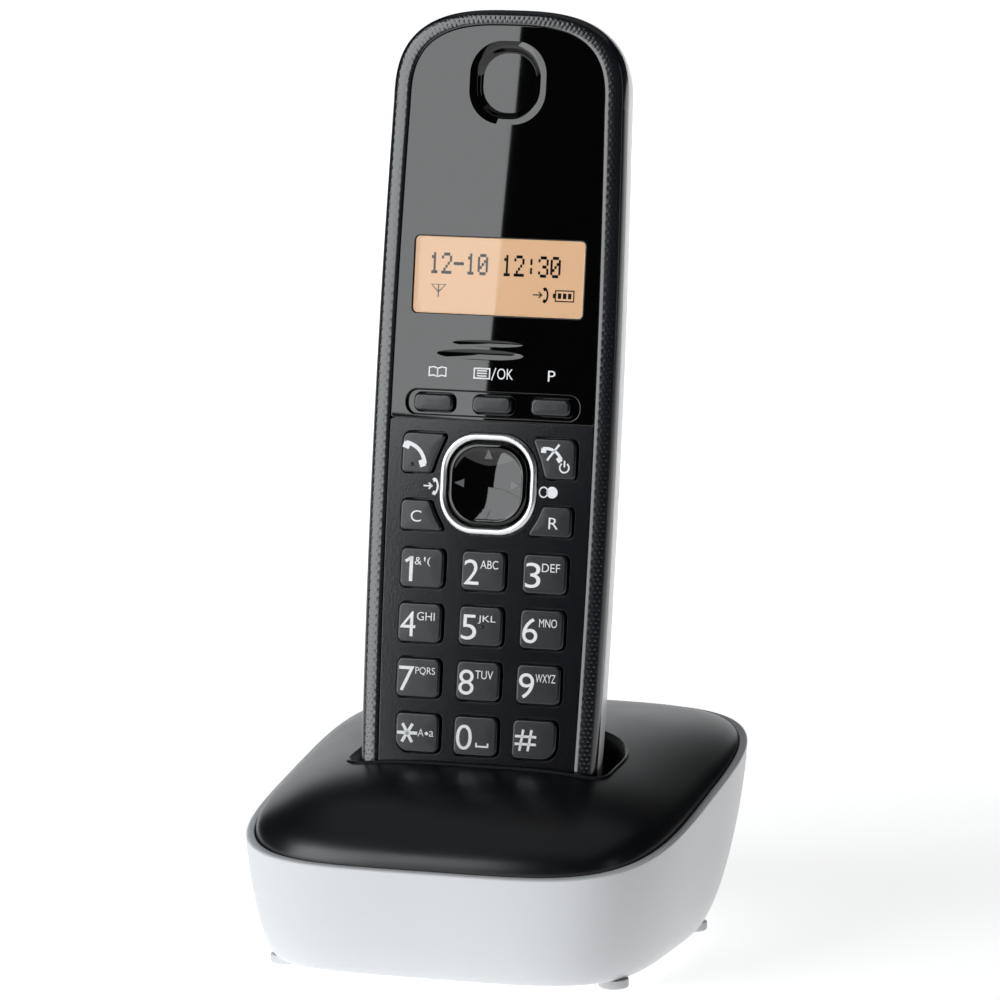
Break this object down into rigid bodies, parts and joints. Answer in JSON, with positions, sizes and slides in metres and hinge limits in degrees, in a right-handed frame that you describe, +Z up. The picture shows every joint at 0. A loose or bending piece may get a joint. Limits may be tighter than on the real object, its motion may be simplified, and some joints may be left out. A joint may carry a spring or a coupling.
{
  "type": "cordless phone",
  "caption": "Cordless telephone handset with keypad, display and battery door, standing in its desk charging base.",
  "frame": {"origin": "centre of the overall footprint, on the surface that the rubber feet stand on", "axes": "+Z up, the keypad and display face -Y, +X to the right as the user sees it"},
  "size_m": [0.0888, 0.0964, 0.1861],
  "materials": {
    "base_white": "satin white moulded plastic",
    "base_black": "satin black moulded plastic",
    "foot_rubber": "translucent grey rubber",
    "screw_steel": "plated steel",
    "board_green": "solder mask",
    "shield_tin": "tinned sheet",
    "socket_black": "moulded socket body",
    "contact_metal": "nickel plated",
    "bezel_black": "dimpled dark plastic",
    "case_white": "satin white moulded plastic",
    "panel_gloss": "high gloss black",
    "window_clear": "clear",
    "lcd_amber": "amber backlit display",
    "backlight_white": "light guide",
    "keypad_dark": "fine matte",
    "mat_rubber": "silicone rubber",
    "ring_silver": "satin silver",
    "nav_gloss": "high gloss black",
    "key_dark": "satin dark grey",
    "mesh_black": "matte black",
    "speaker_grey": "paper and steel",
    "cell_jacket": "shrink sleeve",
    "button_black": "satin"
  },
  "bodies": {
    "base": {"base_shell": "base_white", "base_top_cover": "base_black", "base_feet": "foot_rubber", "base_screws": "screw_steel", "base_circuit_board": "board_green", "base_rf_shield": "shield_tin", "line_jack": "socket_black", "power_jack": "socket_black", "contact_holder": "socket_black", "locator_switch": "socket_black"},
    "handset": {"handset_front_case": "bezel_black", "handset_back_case": "case_white", "front_panel": "panel_gloss", "display_window": "window_clear", "lcd_glass": "lcd_amber", "lcd_backlight": "backlight_white", "keypad_plate": "keypad_dark", "keypad_mat": "mat_rubber", "nav_ring": "ring_silver", "earpiece_mesh": "mesh_black", "earpiece_speaker": "speaker_grey", "ringer_speaker": "speaker_grey", "microphone": "speaker_grey", "handset_circuit_board": "board_green", "handset_rf_shield": "shield_tin", "battery_cell_left": "cell_jacket", "battery_cell_right": "cell_jacket", "battery_contacts": "contact_metal", "charge_terminals": "contact_metal", "handset_screws": "screw_steel"},
    "charge_contact_left": {"charge_contact_left": "contact_metal"},
    "charge_contact_right": {"charge_contact_right": "contact_metal"},
    "locator_button": {"locator_button": "button_black"},
    "nav_rocker": {"nav_rocker": "key_dark"},
    "nav_button": {"nav_button": "nav_gloss"},
    "battery_cover": {"battery_cover": "case_white"},
    "key_1": {"key_1": "key_dark"},
    "key_2": {"key_2": "key_dark"},
    "key_3": {"key_3": "key_dark"},
    "key_4": {"key_4": "key_dark"},
    "key_5": {"key_5": "key_dark"},
    "key_6": {"key_6": "key_dark"},
    "key_7": {"key_7": "key_dark"},
    "key_8": {"key_8": "key_dark"},
    "key_9": {"key_9": "key_dark"},
    "key_star": {"key_star": "key_dark"},
    "key_0": {"key_0": "key_dark"},
    "key_hash": {"key_hash": "key_dark"},
    "talk_key": {"talk_key": "key_dark"},
    "off_key": {"off_key": "key_dark"},
    "clear_key": {"clear_key": "key_dark"},
    "recall_key": {"recall_key": "key_dark"},
    "soft_key_left": {"soft_key_left": "key_dark"},
    "soft_key_middle": {"soft_key_middle": "key_dark"},
    "soft_key_right": {"soft_key_right": "key_dark"}
  },
  "joints": [
    {"name": "handset_lift", "type": "slide", "parent": "base", "child": "handset", "axis": [0, 0.1502, 0.9887], "range_m": [0, 0.06]},
    {"name": "charge_contact_left_press", "type": "slide", "parent": "base", "child": "charge_contact_left", "axis": [0, -0.1502, -0.9887], "range_m": [0, 0.0011], "stiffness_N_per_m": 600},
    {"name": "charge_contact_right_press", "type": "slide", "parent": "base", "child": "charge_contact_right", "axis": [0, -0.1502, -0.9887], "range_m": [0, 0.0011], "stiffness_N_per_m": 600},
    {"name": "locator_button_press", "type": "slide", "parent": "base", "child": "locator_button", "axis": [0, 0, -1], "range_m": [0, 0.001], "stiffness_N_per_m": 800},
    {"name": "key_1_press", "type": "slide", "parent": "handset", "child": "key_1", "axis": [0, 0.9887, -0.1502], "range_m": [0, 0.0008], "stiffness_N_per_m": 800},
    {"name": "key_2_press", "type": "slide", "parent": "handset", "child": "key_2", "axis": [0, 0.9887, -0.1502], "range_m": [0, 0.0008], "stiffness_N_per_m": 800},
    {"name": "key_3_press", "type": "slide", "parent": "handset", "child": "key_3", "axis": [0, 0.9887, -0.1502], "range_m": [0, 0.0008], "stiffness_N_per_m": 800},
    {"name": "key_4_press", "type": "slide", "parent": "handset", "child": "key_4", "axis": [0, 0.9887, -0.1502], "range_m": [0, 0.0008], "stiffness_N_per_m": 800},
    {"name": "key_5_press", "type": "slide", "parent": "handset", "child": "key_5", "axis": [0, 0.9887, -0.1502], "range_m": [0, 0.0008], "stiffness_N_per_m": 800},
    {"name": "key_6_press", "type": "slide", "parent": "handset", "child": "key_6", "axis": [0, 0.9887, -0.1502], "range_m": [0, 0.0008], "stiffness_N_per_m": 800},
    {"name": "key_7_press", "type": "slide", "parent": "handset", "child": "key_7", "axis": [0, 0.9887, -0.1502], "range_m": [0, 0.0008], "stiffness_N_per_m": 800},
    {"name": "key_8_press", "type": "slide", "parent": "handset", "child": "key_8", "axis": [0, 0.9887, -0.1502], "range_m": [0, 0.0008], "stiffness_N_per_m": 800},
    {"name": "key_9_press", "type": "slide", "parent": "handset", "child": "key_9", "axis": [0, 0.9887, -0.1502], "range_m": [0, 0.0008], "stiffness_N_per_m": 800},
    {"name": "key_star_press", "type": "slide", "parent": "handset", "child": "key_star", "axis": [0, 0.9887, -0.1502], "range_m": [0, 0.0008], "stiffness_N_per_m": 800},
    {"name": "key_0_press", "type": "slide", "parent": "handset", "child": "key_0", "axis": [0, 0.9887, -0.1502], "range_m": [0, 0.0008], "stiffness_N_per_m": 800},
    {"name": "key_hash_press", "type": "slide", "parent": "handset", "child": "key_hash", "axis": [0, 0.9887, -0.1502], "range_m": [0, 0.0008], "stiffness_N_per_m": 800},
    {"name": "talk_key_press", "type": "slide", "parent": "handset", "child": "talk_key", "axis": [0, 0.9887, -0.1502], "range_m": [0, 0.0008], "stiffness_N_per_m": 800},
    {"name": "off_key_press", "type": "slide", "parent": "handset", "child": "off_key", "axis": [0, 0.9887, -0.1502], "range_m": [0, 0.0008], "stiffness_N_per_m": 800},
    {"name": "clear_key_press", "type": "slide", "parent": "handset", "child": "clear_key", "axis": [0, 0.9887, -0.1502], "range_m": [0, 0.0008], "stiffness_N_per_m": 800},
    {"name": "recall_key_press", "type": "slide", "parent": "handset", "child": "recall_key", "axis": [0, 0.9887, -0.1502], "range_m": [0, 0.0008], "stiffness_N_per_m": 800},
    {"name": "soft_key_left_press", "type": "slide", "parent": "handset", "child": "soft_key_left", "axis": [0, 0.9887, -0.1502], "range_m": [0, 0.0005], "stiffness_N_per_m": 800},
    {"name": "soft_key_middle_press", "type": "slide", "parent": "handset", "child": "soft_key_middle", "axis": [0, 0.9887, -0.1502], "range_m": [0, 0.0005], "stiffness_N_per_m": 800},
    {"name": "soft_key_right_press", "type": "slide", "parent": "handset", "child": "soft_key_right", "axis": [0, 0.9887, -0.1502], "range_m": [0, 0.0005], "stiffness_N_per_m": 800},
    {"name": "nav_tilt_left_right", "type": "hinge", "parent": "handset", "child": "nav_rocker", "pos_m": [0, -0.00278, 0.09305], "axis": [0, 0.1502, 0.9887], "range_deg": [-2.5, 2.5], "stiffness_Nm_per_rad": 0.16},
    {"name": "nav_tilt_up_down", "type": "hinge", "parent": "nav_rocker", "child": "nav_button", "pos_m": [0, -0.00278, 0.09305], "axis": [1, 0, 0], "range_deg": [-2.5, 2.5], "stiffness_Nm_per_rad": 0.16},
    {"name": "battery_cover_slide", "type": "slide", "parent": "handset", "child": "battery_cover", "axis": [0, -0.1502, -0.9887], "range_m": [0, 0.006]}
  ]
}
